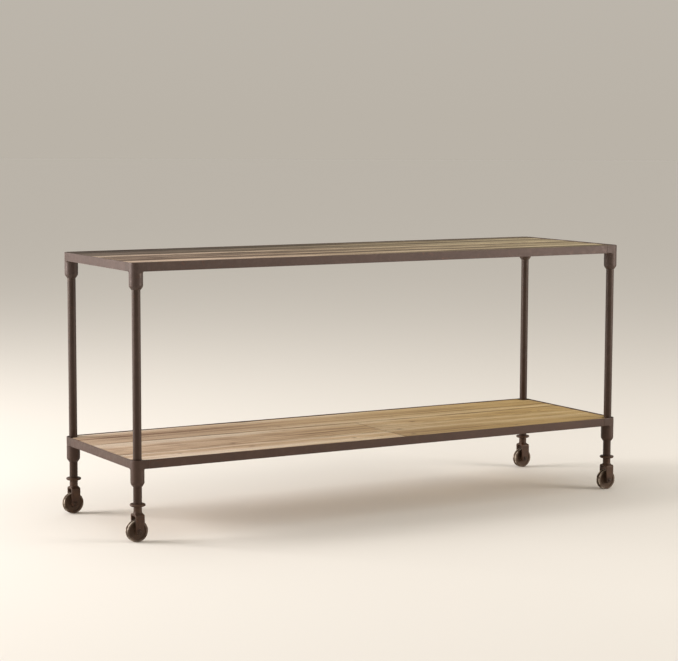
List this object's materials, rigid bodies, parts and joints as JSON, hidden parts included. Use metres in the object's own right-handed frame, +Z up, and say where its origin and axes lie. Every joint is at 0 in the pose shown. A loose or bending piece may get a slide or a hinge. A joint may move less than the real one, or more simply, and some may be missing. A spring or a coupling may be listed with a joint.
{
  "type": "two-tier console table on casters",
  "caption": "Long open two-tier table: an iron angle frame on round legs holds a plank top and a low plank shelf, and rolls on swivelling iron casters.",
  "frame": {"origin": "on the floor, under the middle of the table", "axes": "+X along the table's length to the right, +Y to the back, +Z up"},
  "size_m": [1.545, 0.4626, 0.711],
  "materials": {
    "rail_iron": "rolled iron with an even brown-mauve rust patina, waxed to a low satin",
    "cast_corner_iron": "sand-cast iron, finely pitted, brown patina",
    "leg_iron": "drawn tube with a brown patina, satin",
    "caster_iron": "forged iron, darker bronze-brown rust, worn on the edges",
    "wheel_iron": "cast iron with rusty faces and a dark, polished tread",
    "axle_iron": "dark hammered rivet iron",
    "fastener_steel": "dulled steel",
    "top_wood": "weathered grey-brown reclaimed planks, dry matte, long dark streaks",
    "shelf_wood": "bleached light tan reclaimed planks, dry matte, golden towards the ends"
  },
  "bodies": {
    "table": {"top_rail_front": "rail_iron", "top_rail_back": "rail_iron", "top_rail_left": "rail_iron", "top_rail_right": "rail_iron", "shelf_rail_front": "rail_iron", "shelf_rail_back": "rail_iron", "shelf_rail_left": "rail_iron", "shelf_rail_right": "rail_iron", "top_strap_left": "rail_iron", "top_strap_centre": "rail_iron", "top_strap_right": "rail_iron", "shelf_strap_left": "rail_iron", "shelf_strap_centre": "rail_iron", "shelf_strap_right": "rail_iron", "top_corner_front_left": "cast_corner_iron", "top_corner_front_right": "cast_corner_iron", "top_corner_back_left": "cast_corner_iron", "top_corner_back_right": "cast_corner_iron", "shelf_corner_front_left": "cast_corner_iron", "shelf_corner_front_right": "cast_corner_iron", "shelf_corner_back_left": "cast_corner_iron", "shelf_corner_back_right": "cast_corner_iron", "leg_tube_front_left": "leg_iron", "leg_tube_front_right": "leg_iron", "leg_tube_back_left": "leg_iron", "leg_tube_back_right": "leg_iron", "top_plank_back": "top_wood", "top_plank_middle": "top_wood", "top_plank_front": "top_wood", "shelf_plank_back": "shelf_wood", "shelf_plank_middle_left": "shelf_wood", "shelf_plank_front_left": "shelf_wood", "shelf_plank_middle_right": "shelf_wood", "shelf_plank_front_right": "shelf_wood", "caster_collar_front_left": "caster_iron", "caster_collar_front_right": "caster_iron", "caster_collar_back_left": "caster_iron", "caster_collar_back_right": "caster_iron", "grub_screws": "fastener_steel", "plank_screws": "fastener_steel"},
    "fork_front_left": {"caster_fork_front_left": "caster_iron", "caster_pintle_front_left": "fastener_steel", "caster_axle_front_left": "axle_iron", "caster_washers_front_left": "axle_iron"},
    "wheel_front_left": {"caster_wheel_front_left": "wheel_iron"},
    "fork_front_right": {"caster_fork_front_right": "caster_iron", "caster_pintle_front_right": "fastener_steel", "caster_axle_front_right": "axle_iron", "caster_washers_front_right": "axle_iron"},
    "wheel_front_right": {"caster_wheel_front_right": "wheel_iron"},
    "fork_back_left": {"caster_fork_back_left": "caster_iron", "caster_pintle_back_left": "fastener_steel", "caster_axle_back_left": "axle_iron", "caster_washers_back_left": "axle_iron"},
    "wheel_back_left": {"caster_wheel_back_left": "wheel_iron"},
    "fork_back_right": {"caster_fork_back_right": "caster_iron", "caster_pintle_back_right": "fastener_steel", "caster_axle_back_right": "axle_iron", "caster_washers_back_right": "axle_iron"},
    "wheel_back_right": {"caster_wheel_back_right": "wheel_iron"}
  },
  "joints": [
    {"name": "swivel_front_left", "type": "hinge", "parent": "table", "child": "fork_front_left", "pos_m": [-0.744, -0.2105, 0.0915], "axis": [0, 0, 1], "continuous": true},
    {"name": "roll_front_left", "type": "hinge", "parent": "fork_front_left", "child": "wheel_front_left", "pos_m": [-0.747, -0.2105, 0.0285], "axis": [0, 1, 0], "continuous": true},
    {"name": "swivel_front_right", "type": "hinge", "parent": "table", "child": "fork_front_right", "pos_m": [0.744, -0.2105, 0.0915], "axis": [0, 0, 1], "continuous": true},
    {"name": "roll_front_right", "type": "hinge", "parent": "fork_front_right", "child": "wheel_front_right", "pos_m": [0.741, -0.2105, 0.0285], "axis": [0, 1, 0], "continuous": true},
    {"name": "swivel_back_left", "type": "hinge", "parent": "table", "child": "fork_back_left", "pos_m": [-0.744, 0.2105, 0.0915], "axis": [0, 0, 1], "continuous": true},
    {"name": "roll_back_left", "type": "hinge", "parent": "fork_back_left", "child": "wheel_back_left", "pos_m": [-0.747, 0.2105, 0.0285], "axis": [0, 1, 0], "continuous": true},
    {"name": "swivel_back_right", "type": "hinge", "parent": "table", "child": "fork_back_right", "pos_m": [0.744, 0.2105, 0.0915], "axis": [0, 0, 1], "continuous": true},
    {"name": "roll_back_right", "type": "hinge", "parent": "fork_back_right", "child": "wheel_back_right", "pos_m": [0.741, 0.2105, 0.0285], "axis": [0, 1, 0], "continuous": true}
  ]
}
